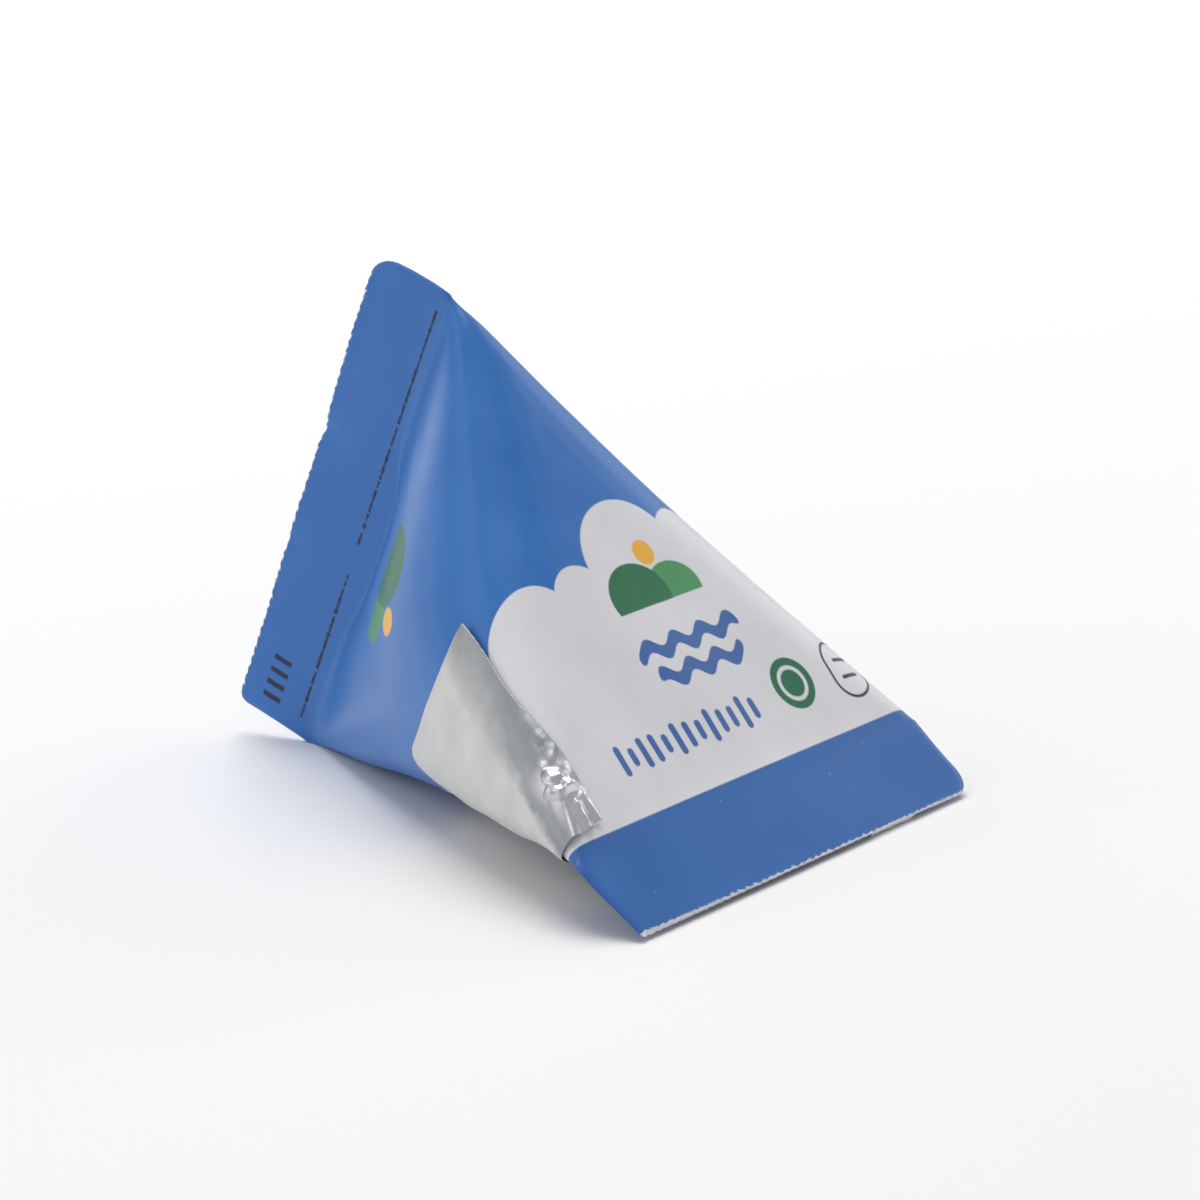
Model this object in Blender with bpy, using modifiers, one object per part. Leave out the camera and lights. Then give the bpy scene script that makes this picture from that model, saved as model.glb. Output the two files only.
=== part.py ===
"""Small four-sided milk portion pack: a paper tube sealed flat at both ends, the two seals at right angles.

Units are metres, +Z is up. The pack's own frame runs +X from the upright seal to the lower seal, +Y along the
lower seal and +Z along the upright seal, away from the ground. An empty then tips it to the pose it rests in:
on the lower fin's cut edge and on the low corner of the upright seal, with the origin under its middle.
"""

import math

import bmesh
import bpy
import numpy as np

MM = 0.001

# Driving dimensions of the filled pack
TUBE_WIDTH = 48.0 * MM  # flat width of the tube, which is the length of each end seal
SEAL_SPAN = 44.1 * MM  # straight distance between the two seal lines
FIN_LENGTH = 7.9 * MM  # from a seal line to its cut edge
WALL = 0.3 * MM  # one layer of the paper laminate
UPRIGHT_FIN_BEND = math.radians(-4.3)  # the upright fin leans to the tab's side
LOWER_FIN_BEND = math.radians(-16.3)  # the lower fin is pressed down towards the ground
CORNER_RADII = {"top": 2.2 * MM, "low": 0.9 * MM, "near": 0.5 * MM, "far": 1.9 * MM}
FLAT_SPOT_DEPTH = 0.2 * MM  # how far the corner it stands on is pressed flat

# How far the paper rounds a fold, to each side of it
EDGE_SOFTNESS = 8.6 * MM
EDGE_SOFTNESS_AT_SEAL = 1.3 * MM
EDGE_SOFTNESS_POWER = 0.7
SEAL_SOFTNESS = 4.3 * MM
SEAL_SOFTNESS_SHARE_AT_CORNER = 0.3
FIN_BEND_SOFTNESS = 1.4 * MM
BULGE = 5.2 * MM  # of the two faces that end in the upright seal, before the blur flattens it
BULGE_SHIFT = 0.4  # 0 bulges most halfway along, 1 nearer the upright seal

# The tube's lengthways lap, on the two faces turned from the tab
LAP_MIDDLE = 1.25 * TUBE_WIDTH
LAP_WIDTH = 6.0 * MM

# The foil pull tab: a strip folded round the near corner of the lower seal
TAB_WIDTH = 15.6 * MM
TAB_MIDDLE = 25.0 * MM  # round the tube from the top corner
TAB_FREE_END = 23.8 * MM  # along the tube from the upright seal
TAB_FIXED_END = 48.6 * MM
TAB_END_SLANT = 0.08
TAB_CORNER_RADIUS = 2.1 * MM
TAB_THICKNESS = 0.3 * MM
TAB_GAP = 0.3 * MM

# Mesh stations
STATIONS_ROUND = 64
STEPS_ALONG_BODY = 28
STEPS_ALONG_FIN = 5
STEPS_ALONG_TAB = 14
BLUR_SAMPLES = 9

FACE_HEIGHT = math.hypot(SEAL_SPAN, TUBE_WIDTH / 2)  # seal to seal along a flat face


def folded_tube(s, t):
    """The tube folded with sharp edges. s runs round it from the top corner, t along it from the upright seal."""
    half = TUBE_WIDTH / 2
    share = np.clip(t / FACE_HEIGHT, 0.0, 1.0)
    x = SEAL_SPAN * share + np.minimum(t, 0.0) + np.maximum(t - FACE_HEIGHT, 0.0)
    upright, across = half * (1 - share), half * share
    s = np.mod(s, 4 * half)
    top = (s < across) | (s > 4 * half - across)
    near = (s >= across) & (s <= 2 * half - across)
    far = (s >= 2 * half + across) & (s <= 4 * half - across)
    low = ~(top | near | far)
    z_on_wall = np.select([near, far], [half - s, s - 3 * half], 0.0)
    y_on_wall = np.select([low, s < across], [s - 2 * half, -s], 4 * half - s)
    swell = share * (1 - share) * (4 * (1 - BULGE_SHIFT) + 6.75 * BULGE_SHIFT * (1 - share))
    hump = WALL + BULGE * swell * (1 - (z_on_wall / np.maximum(upright, MM)) ** 2)
    y = np.select([near, far], [-across - hump, across + hump], y_on_wall)
    z = np.select([top, low], [upright + WALL, -upright - WALL], z_on_wall)
    return np.stack([x + 0 * s, y, z], axis=-1)


def soft_tube(s, t):
    """The folded tube blurred over a small patch of paper, wide at mid edge and narrow at the seals' corners."""
    share = np.clip(t / FACE_HEIGHT, 0.0, 1.0)
    from_seals = np.maximum(np.sin(np.pi * share), 0.0)
    reach_s = EDGE_SOFTNESS * from_seals**EDGE_SOFTNESS_POWER + EDGE_SOFTNESS_AT_SEAL
    turn = np.pi * s / TUBE_WIDTH
    from_corners = np.where(share < 0.5, np.abs(np.sin(turn)), np.abs(np.cos(turn)))
    least = SEAL_SOFTNESS_SHARE_AT_CORNER
    reach_t = SEAL_SOFTNESS * (least + (1 - least) * from_corners)
    offsets = (np.arange(BLUR_SAMPLES) + 0.5) / BLUR_SAMPLES * 2 - 1
    weights = 1 + np.cos(np.pi * offsets)
    weights = weights / weights.sum()
    point = 0.0
    for a, weight_a in zip(offsets, weights):
        for b, weight_b in zip(offsets, weights):
            point = point + weight_a * weight_b * folded_tube(s + a * reach_s, t + b * reach_t)
    return point


def past(distance):
    """Zero before a seal line and the distance past it beyond, eased at the line."""
    soft = FIN_BEND_SOFTNESS
    eased = (distance + soft) ** 2 / (4 * soft)
    return np.where(distance > soft, distance, np.where(distance > -soft, eased, 0.0))


def corner_share(to_cut, radius):
    """The share of a fin's half width that is left this far from its cut edge, beside a round corner."""
    inside = np.clip(radius - to_cut, 0.0, radius)
    return 1 - (radius - np.sqrt(radius**2 - inside**2)) / (TUBE_WIDTH / 2)


def shape_fins(point):
    """Rounds the corners of both fins and leans each about its seal line."""
    x, y, z = point[..., 0], point[..., 1], point[..., 2]
    to_upright_cut, to_lower_cut = FIN_LENGTH + x, FIN_LENGTH + SEAL_SPAN - x
    at_top = corner_share(to_upright_cut, CORNER_RADII["top"])
    at_low = corner_share(to_upright_cut, CORNER_RADII["low"])
    at_near = corner_share(to_lower_cut, CORNER_RADII["near"])
    at_far = corner_share(to_lower_cut, CORNER_RADII["far"])
    z = z * np.where(z > 0, at_top, at_low)
    y = y * np.where(y > 0, at_far, at_near)
    first, second = past(-x), past(x - SEAL_SPAN)
    x = x + (1 - math.cos(UPRIGHT_FIN_BEND)) * first - (1 - math.cos(LOWER_FIN_BEND)) * second
    y = y + math.sin(UPRIGHT_FIN_BEND) * first
    z = z + math.sin(LOWER_FIN_BEND) * second
    return np.stack([x, y, z], axis=-1)


def paper(s, t):
    """Points of the pack's outer face, in its own frame."""
    s, t = np.broadcast_arrays(np.asarray(s, float), np.asarray(t, float))
    return shape_fins(soft_tube(s, t))


def outward(s, t):
    """Unit normals of the pack's outer face."""
    step = 0.05 * MM
    along_s = paper(s + step, t) - paper(s - step, t)
    along_t = paper(s, t + step) - paper(s, t - step)
    normal = np.cross(along_s, along_t)
    return normal / np.linalg.norm(normal, axis=-1, keepdims=True)


def lap_height(s):
    """The lengthways lap stands one layer proud."""
    return np.where(np.abs(s - LAP_MIDDLE) < LAP_WIDTH / 2, WALL, 0.0)


def along_stations():
    """Distances along the tube from the upright seal, cut edge to cut edge."""
    fin = np.linspace(-FIN_LENGTH, 0.0, STEPS_ALONG_FIN + 1)
    body = np.linspace(0.0, FACE_HEIGHT, STEPS_ALONG_BODY + 1)
    return np.concatenate([fin[:-1], body, FACE_HEIGHT - fin[-2::-1]])


def rest_tilt(points):
    """The turn about +Y that brings the lowest points of both ends to one height."""
    x, z = points[:, 0], points[:, 2]
    tilt = 0.0
    for _ in range(8):
        height = z * math.cos(tilt) - x * math.sin(tilt)
        back = np.argmin(np.where(x < SEAL_SPAN / 2, height, np.inf))
        front = np.argmin(np.where(x > SEAL_SPAN / 2, height, np.inf))
        tilt = math.atan2(z[front] - z[back], x[front] - x[back])
    return tilt


def pressed_flat(points, tilt):
    """Raises what is within FLAT_SPOT_DEPTH of the ground to one level."""
    up = np.array([-math.sin(tilt), 0.0, math.cos(tilt)])
    height = points @ up
    ground = height.min() + FLAT_SPOT_DEPTH
    return points + np.maximum(ground - height, 0.0)[:, None] * up


def material(name, colour, roughness, metallic):
    made = bpy.data.materials.new(name)
    made.use_nodes = True
    shader = made.node_tree.nodes["Principled BSDF"]
    shader.inputs["Base Color"].default_value = (*colour, 1.0)
    shader.inputs["Roughness"].default_value = roughness
    shader.inputs["Metallic"].default_value = metallic
    made.diffuse_color = (*colour, 1.0)
    return made


def sheet(columns, rows):
    """A flat grid, and its vertices' places in it from 0 to 1. Its faces look out of the tube."""
    shape = bmesh.new()
    bmesh.ops.create_grid(shape, x_segments=columns, y_segments=rows, size=0.5)
    places = np.array([vertex.co for vertex in shape.verts]) + 0.5
    return shape, places[:, 0], places[:, 1]


def put(shape, points):
    for vertex, point in zip(shape.verts, points):
        vertex.co = point


def add_object(name, shape, parent, finish):
    """Makes an object of a bmesh under the pack's empty."""
    mesh = bpy.data.meshes.new(name)
    shape.to_mesh(mesh)
    shape.free()
    mesh.materials.append(finish)
    mesh.shade_smooth()
    mesh.set_sharp_from_angle(angle=math.radians(40))
    made = bpy.data.objects.new(name, mesh)
    bpy.data.collections["milk_portion_pack"].objects.link(made)
    made.parent = parent
    return made


def carton(parent, finish):
    """The sheet rolled to a tube, welded along its length and closed at both cut edges."""
    stations = along_stations()
    shape, column, row = sheet(STATIONS_ROUND, len(stations) - 1)
    s = np.mod(np.rint(column * STATIONS_ROUND), STATIONS_ROUND) * 2 * TUBE_WIDTH / STATIONS_ROUND
    t = np.interp(row, np.linspace(0.0, 1.0, len(stations)), stations)
    points = paper(s, t) + outward(s, t) * lap_height(s)[:, None]
    tilt = rest_tilt(points)
    put(shape, pressed_flat(points, tilt))
    bmesh.ops.remove_doubles(shape, verts=shape.verts, dist=0.01 * MM)
    cut_edges = [edge for edge in shape.edges if edge.is_boundary]
    ends = bmesh.ops.holes_fill(shape, edges=cut_edges)["faces"]
    bmesh.ops.triangulate(shape, faces=ends)
    bmesh.ops.recalc_face_normals(shape, faces=shape.faces)
    return add_object("carton", shape, parent, finish), tilt


def tab_outline(across):
    """Where the tab's free end lies along the tube, this far round from its middle, with one round corner."""
    over = np.maximum(across - (TAB_WIDTH / 2 - TAB_CORNER_RADIUS), 0.0)
    rounding = TAB_CORNER_RADIUS - np.sqrt(np.maximum(TAB_CORNER_RADIUS**2 - over**2, 0.0))
    return TAB_FREE_END - TAB_END_SLANT * across + rounding


def pull_tab(parent, finish):
    """The tab lies a gap off the paper, on stations that share the paper's folds."""
    pitch = TUBE_WIDTH / STATIONS_ROUND
    first, last = TAB_MIDDLE - TAB_WIDTH / 2, TAB_MIDDLE + TAB_WIDTH / 2
    between = np.arange(math.ceil(first / pitch + 0.1), last / pitch - 0.1) * pitch
    stations = np.concatenate([[first], between, [last - 0.3 * TAB_CORNER_RADIUS, last]])
    shape, column, row = sheet(len(stations) - 1, STEPS_ALONG_TAB)
    s = np.interp(column, np.linspace(0.0, 1.0, len(stations)), np.sort(stations))
    free_end = tab_outline(s - TAB_MIDDLE)
    t = free_end + (TAB_FIXED_END - free_end) * row
    put(shape, paper(s, t) + outward(s, t) * TAB_GAP)
    made = add_object("pull_tab", shape, parent, finish)
    thick = made.modifiers.new("foil thickness", "SOLIDIFY")
    thick.thickness = TAB_THICKNESS
    thick.offset = 1.0
    return made


def stand(rest, tilt, objects):
    """Tips the pack to its rest pose and puts the origin under the middle of its box."""
    rest.rotation_euler = (0.0, tilt, 0.0)
    bpy.context.view_layer.update()
    corners = []
    for each in objects:
        solid = each.evaluated_get(bpy.context.evaluated_depsgraph_get()).to_mesh()
        corners += [each.matrix_world @ vertex.co for vertex in solid.vertices]
    corners = np.array(corners)
    low, high = corners.min(axis=0), corners.max(axis=0)
    rest.location = (-(low[0] + high[0]) / 2, -(low[1] + high[1]) / 2, -low[2])
    bpy.context.view_layer.update()


def main():
    for old in list(bpy.data.objects):
        bpy.data.objects.remove(old)
    pack = bpy.data.collections.new("milk_portion_pack")
    bpy.context.scene.collection.children.link(pack)
    rest = bpy.data.objects.new("pack_at_rest", None)
    pack.objects.link(rest)
    body, tilt = carton(rest, material("printed_paper", (0.05, 0.16, 0.42), 0.4, 0.0))
    tab = pull_tab(rest, material("matte_foil", (0.55, 0.57, 0.57), 0.4, 0.8))
    stand(rest, tilt, [body, tab])


main()
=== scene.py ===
"""Dresses a small four-sided milk portion pack: printed paper, sealed fins with cut edges, a foil pull tab.

Lengths are metres. The pack's own frame runs +X from the upright seal to the lower seal, +Y along the lower
seal and +Z along the upright seal. On the flat sheet, s runs round the tube from the top corner and t runs
along it from the upright seal. The sheet's UV map holds both, and the print and the foil are drawn on it in
millimetres.
"""

import math

import bmesh
import bpy
import numpy as np
from bpy.props import FloatProperty, FloatVectorProperty, PointerProperty
from bpy.types import Operator, Panel, PropertyGroup
from mathutils import Euler, Matrix, Vector


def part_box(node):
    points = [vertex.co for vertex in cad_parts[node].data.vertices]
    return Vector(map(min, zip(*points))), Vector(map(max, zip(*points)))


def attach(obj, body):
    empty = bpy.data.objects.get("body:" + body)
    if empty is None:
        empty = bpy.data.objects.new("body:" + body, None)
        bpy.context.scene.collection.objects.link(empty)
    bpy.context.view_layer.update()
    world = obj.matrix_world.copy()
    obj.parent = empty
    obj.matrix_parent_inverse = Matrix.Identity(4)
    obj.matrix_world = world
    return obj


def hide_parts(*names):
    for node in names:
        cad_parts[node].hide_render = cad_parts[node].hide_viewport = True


bl_info = {
    "name": "Milk portion pack",
    "version": (1, 0, 0),
    "blender": (4, 5, 0),
    "location": "View3D > Sidebar > Milk Pack",
    "description": "Builds the printed paper and the foil tab of a four-sided milk pack",
    "category": "Add Mesh",
}

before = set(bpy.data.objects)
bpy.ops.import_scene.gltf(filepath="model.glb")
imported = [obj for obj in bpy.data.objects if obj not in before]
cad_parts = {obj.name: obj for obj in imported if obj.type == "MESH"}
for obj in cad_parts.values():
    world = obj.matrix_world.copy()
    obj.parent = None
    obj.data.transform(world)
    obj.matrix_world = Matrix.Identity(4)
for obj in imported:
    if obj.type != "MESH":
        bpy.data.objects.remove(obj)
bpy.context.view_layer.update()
CARTON_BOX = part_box("carton")

MM = 0.001

# Mesh stations of the paper and of the tab
PAPER_COLUMNS = 512
FIN_ROWS = 14
BODY_ROWS = 128
TAB_COLUMNS = 150
TAB_ROWS = 210
BLUR_SAMPLES = 9

# The sheet's UV map puts 100 mm of paper on one unit, with the lap's edge and the cut edge just inside it
UV_SPAN = 100 * MM
UV_START_ROUND = -39 * MM
UV_START_ALONG = -8 * MM

# Width of the soft step at the edge of a printed shape, in millimetres
PRINT_EDGE = 0.07


def length(name, description, default):
    return FloatProperty(name=name, description=description, default=default, unit="LENGTH", precision=5)


def angle(name, description, degrees):
    return FloatProperty(name=name, description=description, default=math.radians(degrees), subtype="ANGLE")


def power(name, description, watts):
    return FloatProperty(name=name, description=description, default=watts, unit="POWER")


def tint(name, description, default):
    return FloatVectorProperty(
        name=name, description=description, default=default, subtype="COLOR", size=3, min=0.0, max=1.0
    )


class PackForm(PropertyGroup):
    """Sizes of the folded and filled paper tube."""

    tube_width: length("Tube width", "Flat width of the tube, the length of each end seal", 48 * MM)
    seal_span: length("Seal span", "Straight distance between the two seal lines", 44.1 * MM)
    fin_length: length("Fin length", "From a seal line to its cut edge", 7.9 * MM)
    wall: length("Paper thickness", "One layer of the paper laminate", 0.3 * MM)
    upright_bend: angle("Upright fin bend", "How far the upright fin leans to the tab's side", -4.3)
    lower_bend: angle("Lower fin bend", "How far the lower fin is pressed towards the ground", -16.3)
    rest_tilt: angle("Rest tilt", "Turn about +Y that stands the pack on the lower fin's cut edge", 21.99)
    edge_softness: length("Edge softness", "How far the paper rounds a fold at mid edge", 8.6 * MM)
    seal_softness: length("Seal softness", "How far the paper rounds the bend at a seal", 4.3 * MM)
    bulge: length("Bulge", "Swell of the two faces that end in the upright seal", 5.2 * MM)
    crease_reach: length("Crease reach", "How far past the upright seal line the crease bows", 2.7 * MM)
    tooth: length("Tooth depth", "Depth of the fine teeth along the cut edges", 0.12 * MM)
    tooth_pitch: length("Tooth pitch", "Distance from tooth to tooth along the cut edges", 1.05 * MM)


class TabForm(PropertyGroup):
    """Sizes of the foil pull tab."""

    width: length("Width", "Width of the foil strip round the tube", 15.6 * MM)
    middle: length("Middle", "The strip's middle, round the tube from the top corner", 25.0 * MM)
    free_end: length("Free end", "The free end, along the tube from the upright seal", 23.3 * MM)
    fixed_end: length("Fixed end", "The fixed end, along the tube from the upright seal", 47.8 * MM)
    corner_radius: length("Corner radius", "Radius of the free end's one round corner", 2.1 * MM)
    thickness: length("Thickness", "Thickness of the strip", 0.09 * MM)
    narrowing: length("Narrowing", "How much narrower the strip is at its fixed end", 1.8 * MM)
    lift: length("Lift", "How far the free corner stands off the paper", 0.55 * MM)
    ridge: length("Ridge", "Height of the fold that runs down the strip", 0.22 * MM)
    crush: FloatProperty(name="Crush", description="Share of the crushed foil's full height", default=1.0)


class PackColours(PropertyGroup):
    """Colours of the print, the paper and the foil, as linear values."""

    blue: tint("Blue", "The paper's printed ground", (0.027, 0.166, 0.520))
    band: tint("Band", "The printed band on the lower fin", (0.021, 0.130, 0.428))
    panel: tint("Panel", "The light printed panel", (0.75, 0.75, 0.79))
    green: tint("Green", "The printed hill and dot", (0.008, 0.155, 0.065))
    light_green: tint("Light green", "The printed hill behind", (0.060, 0.300, 0.105))
    yellow: tint("Yellow", "The printed sun", (0.90, 0.47, 0.04))
    mark: tint("Mark", "The blue of the printed waves and strokes", (0.040, 0.130, 0.400))
    ink: tint("Dark ink", "Fine dark lines", (0.002, 0.008, 0.060))
    paper: tint("Cut paper", "Bare paper at the cut edges", (0.88, 0.87, 0.90))
    # Foil is the darker colour the tab is painted past its fold, painted shade of the fold's far side; Tab is
    # the tab's own colour before the fold
    foil: tint("Foil", "Bare aluminium foil", (0.35, 0.365, 0.385))
    crushed: tint("Crushed foil", "The foil where it is crushed bright", (0.72, 0.71, 0.75))
    tab: tint("Tab", "The tab's matte side", (0.70, 0.70, 0.69))


class StudioLook(PropertyGroup):
    """The floor, the lights and the camera."""

    floor: tint("Floor", "Colour of the floor", (0.90, 0.90, 0.90))
    top: power("Top light", "Power of the large light above", 9.4)
    fill: power("Fill light", "Power of the light at the left front", 2.4)
    side: power("Side light", "Power of the low light at the left", 0.9)
    back: power("Back light", "Power of the light behind", 1.1)
    sky: FloatProperty(name="Sky", description="Strength of the even light from all round", default=0.42)
    azimuth: angle("Camera azimuth", "0 looks along +Y", 38.43)
    elevation: angle("Camera elevation", "Above the horizon", 16.56)
    roll: angle("Camera roll", "Turn about the line of sight", -0.67)
    distance: length("Camera distance", "From the point it looks at", 468 * MM)
    aim: FloatVectorProperty(
        name="Aim",
        description="The point the camera looks at",
        default=(0.0009, 0.0106, 0.0152),
        subtype="TRANSLATION",
    )
    lens: FloatProperty(name="Lens", description="Focal length in millimetres", default=161.4)


def smooth_step(value):
    """0 below 0, 1 above 1 and an eased rise between."""
    value = np.clip(value, 0.0, 1.0)
    return value * value * (3 - 2 * value)


def waves(across, along, seed, count, span, finest):
    """An even sum of soft waves that repeats after span across, between about -1 and 1."""
    draw = np.random.default_rng(seed)
    total = 0.0
    for _ in range(count):
        turns = draw.integers(1, finest + 1)
        slope = draw.uniform(-finest, finest)
        phase = draw.uniform(0, 2 * math.pi)
        total = total + np.cos(2 * math.pi * (turns * across + slope * along) / span + phase)
    return total / math.sqrt(count)


def bump(x, y, middle_x, middle_y, reach_x, reach_y):
    """A round hump of height 1."""
    return np.exp(-(((x - middle_x) / reach_x) ** 2) - ((y - middle_y) / reach_y) ** 2)


def face_height(form):
    """From seal to seal along a flat face."""
    return math.hypot(form.seal_span, form.tube_width / 2)


def folded_tube(form, s, t):
    """The tube folded with sharp edges."""
    half, wall = form.tube_width / 2, form.wall
    height = face_height(form)
    share = np.clip(t / height, 0.0, 1.0)
    x = form.seal_span * share + np.minimum(t, 0.0) + np.maximum(t - height, 0.0)
    upright, across = half * (1 - share), half * share
    s = np.mod(s, 4 * half)
    top = (s < across) | (s > 4 * half - across)
    near = (s >= across) & (s <= 2 * half - across)
    far = (s >= 2 * half + across) & (s <= 4 * half - across)
    low = ~(top | near | far)
    z_on_wall = np.select([near, far], [half - s, s - 3 * half], 0.0)
    y_on_wall = np.select([low, s < across], [s - 2 * half, -s], 4 * half - s)
    swell = share * (1 - share) * (2.4 + 2.7 * (1 - share))
    hump = wall + form.bulge * swell * (1 - (z_on_wall / np.maximum(upright, MM)) ** 2)
    y = np.select([near, far], [-across - hump, across + hump], y_on_wall)
    z = np.select([top, low], [upright + wall, -upright - wall], z_on_wall)
    return np.stack([x + 0 * s, y, z], axis=-1)


def soft_tube(form, s, t):
    """The folded tube blurred over a patch of paper, wide at mid edge and narrow at the seals' corners."""
    share = np.clip(t / face_height(form), 0.0, 1.0)
    from_seals = np.maximum(np.sin(np.pi * share), 0.0)
    reach_s = form.edge_softness * from_seals**0.7 + 1.3 * MM
    turn = np.pi * s / form.tube_width
    from_corners = np.where(share < 0.5, np.abs(np.sin(turn)), np.abs(np.cos(turn)))
    reach_t = form.seal_softness * (0.3 + 0.7 * from_corners)
    offsets = (np.arange(BLUR_SAMPLES) + 0.5) / BLUR_SAMPLES * 2 - 1
    weights = 1 + np.cos(np.pi * offsets)
    weights = weights / weights.sum()
    point = 0.0
    for a, weight_a in zip(offsets, weights):
        for b, weight_b in zip(offsets, weights):
            point = point + weight_a * weight_b * folded_tube(form, s + a * reach_s, t + b * reach_t)
    return point


def upright_crease(form, s):
    """How far past the upright seal line the faces leave the sealed layers, round the tube."""
    sine = np.abs(np.sin(np.pi * s / form.tube_width))
    peak = 0.45 * MM * np.exp(-(((s - 21 * MM) / (3 * MM)) ** 2))
    ripple = 0.16 * MM * np.sin(s / (1.5 * MM)) * smooth_step((s - 26 * MM) / (5 * MM)) * sine
    upper = 1.2 * MM * np.exp(-(((s - 14 * MM) / (11 * MM)) ** 2))
    return form.crease_reach * sine**2.2 - 0.6 * MM + peak + ripple - upper


def flatten_past_seal(form, s, t, point):
    """Keeps both layers flat up to the upright crease and turns them sharply there."""
    beyond = t - upright_crease(form, s)
    soft = 0.22 * MM
    beyond = np.where(beyond > soft, beyond, np.maximum(beyond + soft, 0.0) ** 2 / (4 * soft))
    rise = 1 - np.exp(-beyond / (1.7 * MM))
    y = point[..., 1]
    depth = np.maximum(np.abs(y) - form.wall, 0.0)
    point[..., 1] = np.sign(y) * (np.minimum(np.abs(y), form.wall) + depth * rise)
    return point


def corner_share(form, to_cut, radius):
    """The share of a fin's half width that is left this far from its cut edge, beside a round corner."""
    inside = np.clip(radius - to_cut, 0.0, radius)
    return 1 - (radius - np.sqrt(radius**2 - inside**2)) / (form.tube_width / 2)


def past(distance, soft=1.4 * MM):
    """Zero before a seal line and the distance past it beyond, eased at the line."""
    eased = (distance + soft) ** 2 / (4 * soft)
    return np.where(distance > soft, distance, np.where(distance > -soft, eased, 0.0))


# Radii of the upright fin's two corners and of the lower fin's two
TOP_CORNER = 2.2 * MM
LOW_CORNER = 0.9 * MM
NEAR_CORNER = 0.5 * MM
FAR_CORNER = 2.5 * MM

# Dents of the upright fin's cut edge, in millimetres: depth, height on the fin, reach upwards and inwards
EDGE_DENTS = ((0.3, 5.0, 1.0, 2.0), (0.2, -6.5, 0.9, 1.6))

# How far the fins' ends sway, in millimetres: place from the seal line, end, reach and amount
UPRIGHT_SWAY = ((-3.5, 1, 7.0, -0.33), (-8.0, 1, 2.6, -0.5), (0.9, 1, 1.6, -0.3))
LOWER_SWAY = ((3.5, 1, 6.5, -0.65), (7.0, -1, 3.0, 0.25), (0.6, -1, 3.5, -0.42))


def shape_fins(form, point):
    """Rounds the fins' corners, leans each about its seal line and gives it a slight wave and dents."""
    x, y, z = point[..., 0], point[..., 1], point[..., 2]
    to_upright, to_lower = form.fin_length + x, form.fin_length + form.seal_span - x
    at_top = corner_share(form, to_upright, TOP_CORNER)
    at_low = corner_share(form, to_upright, LOW_CORNER)
    at_near = corner_share(form, to_lower, NEAR_CORNER)
    at_far = corner_share(form, to_lower, FAR_CORNER)
    z = z * np.where(z > 0, at_top, at_low)
    y = y * np.where(y > 0, at_far, at_near)
    half = form.tube_width / 2
    for middle, side, reach, amount in UPRIGHT_SWAY:
        z = z + amount * MM * bump(x, z, middle * MM, side * half, reach * MM, 6 * MM)
    for middle, side, reach, amount in LOWER_SWAY:
        y = y + amount * MM * bump(x, y, form.seal_span + middle * MM, side * half, reach * MM, 8 * MM)
    first, second = past(-x), past(x - form.seal_span)
    x = x + (1 - math.cos(form.upright_bend)) * first - (1 - math.cos(form.lower_bend)) * second
    out = np.clip(first / form.fin_length, 0.0, 1.0)
    low_out = np.clip(second / form.fin_length, 0.0, 1.0)
    x = x - 0.28 * MM * out * np.exp(-(((z - 7 * MM) / (11 * MM)) ** 2))
    y = y * np.where(np.abs(y) < 2 * form.wall, 1 - 0.35 * out, 1.0)
    z = z * np.where(np.abs(z) < 2 * form.wall, 1 - 0.55 * low_out, 1.0)
    wave = 0.25 * MM * np.sin(z / (7.5 * MM) + 0.6) + 0.12 * MM * np.sin(z / (3.1 * MM))
    for depth, height, reach_up, reach_in in EDGE_DENTS:
        wave = wave + depth * MM * bump(z, first, height * MM, 8 * MM, reach_up * MM, reach_in * MM)
    ribs = 0.012 * MM * np.cos(2 * np.pi * first / (1.9 * MM)) * smooth_step((first - 1.2 * MM) / (1.5 * MM))
    ribs = ribs + 0.09 * MM * bump(z, first, 14 * MM, 6.7 * MM, 9 * MM, 0.35 * MM)
    y = y + math.sin(form.upright_bend) * first + out**2 * wave + ribs
    sag = 0.16 * MM * np.sin(y / (6.5 * MM) + 2.0) + 0.07 * MM * np.sin(y / (2.9 * MM))
    z = z + math.sin(form.lower_bend) * second + sag * low_out * (1 - low_out) * 2
    return np.stack([x, y, z], axis=-1)


def paper_points(form, s, t):
    """Points of the pack's outer face, in its own frame."""
    point = flatten_past_seal(form, s, t, soft_tube(form, s, t))
    return shape_fins(form, point)


def grid_normals(points):
    """Unit outward normals of a grid of points whose first axis is s and second is t."""
    normal = np.cross(np.gradient(points, axis=0), np.gradient(points, axis=1))
    return normal / np.maximum(np.linalg.norm(normal, axis=-1, keepdims=True), 1e-12)


def paper_stations(form):
    """Columns round the sheet from the lap's edge, and rows along it, closer together by the cut edges."""
    s = np.linspace(UV_START_ROUND, UV_START_ROUND + 2 * form.tube_width, PAPER_COLUMNS + 1)
    height = face_height(form)
    fin = np.linspace(0.0, 1.0, FIN_ROWS + 1)[:-1]
    fin = form.fin_length * (fin + 0.6 * fin * (fin - 1))
    body = np.linspace(0.0, 1.0, BODY_ROWS + 1)
    body = height * (body - 0.09 * np.sin(2 * np.pi * body))
    return s, np.concatenate([fin - form.fin_length, body, height + form.fin_length - fin[::-1]])


def stand_up(form, points):
    """Turns points from the pack's own frame to the pose it rests in."""
    turn = np.array(Euler((0.0, form.rest_tilt, 0.0)).to_matrix())
    return points @ turn.T


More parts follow.
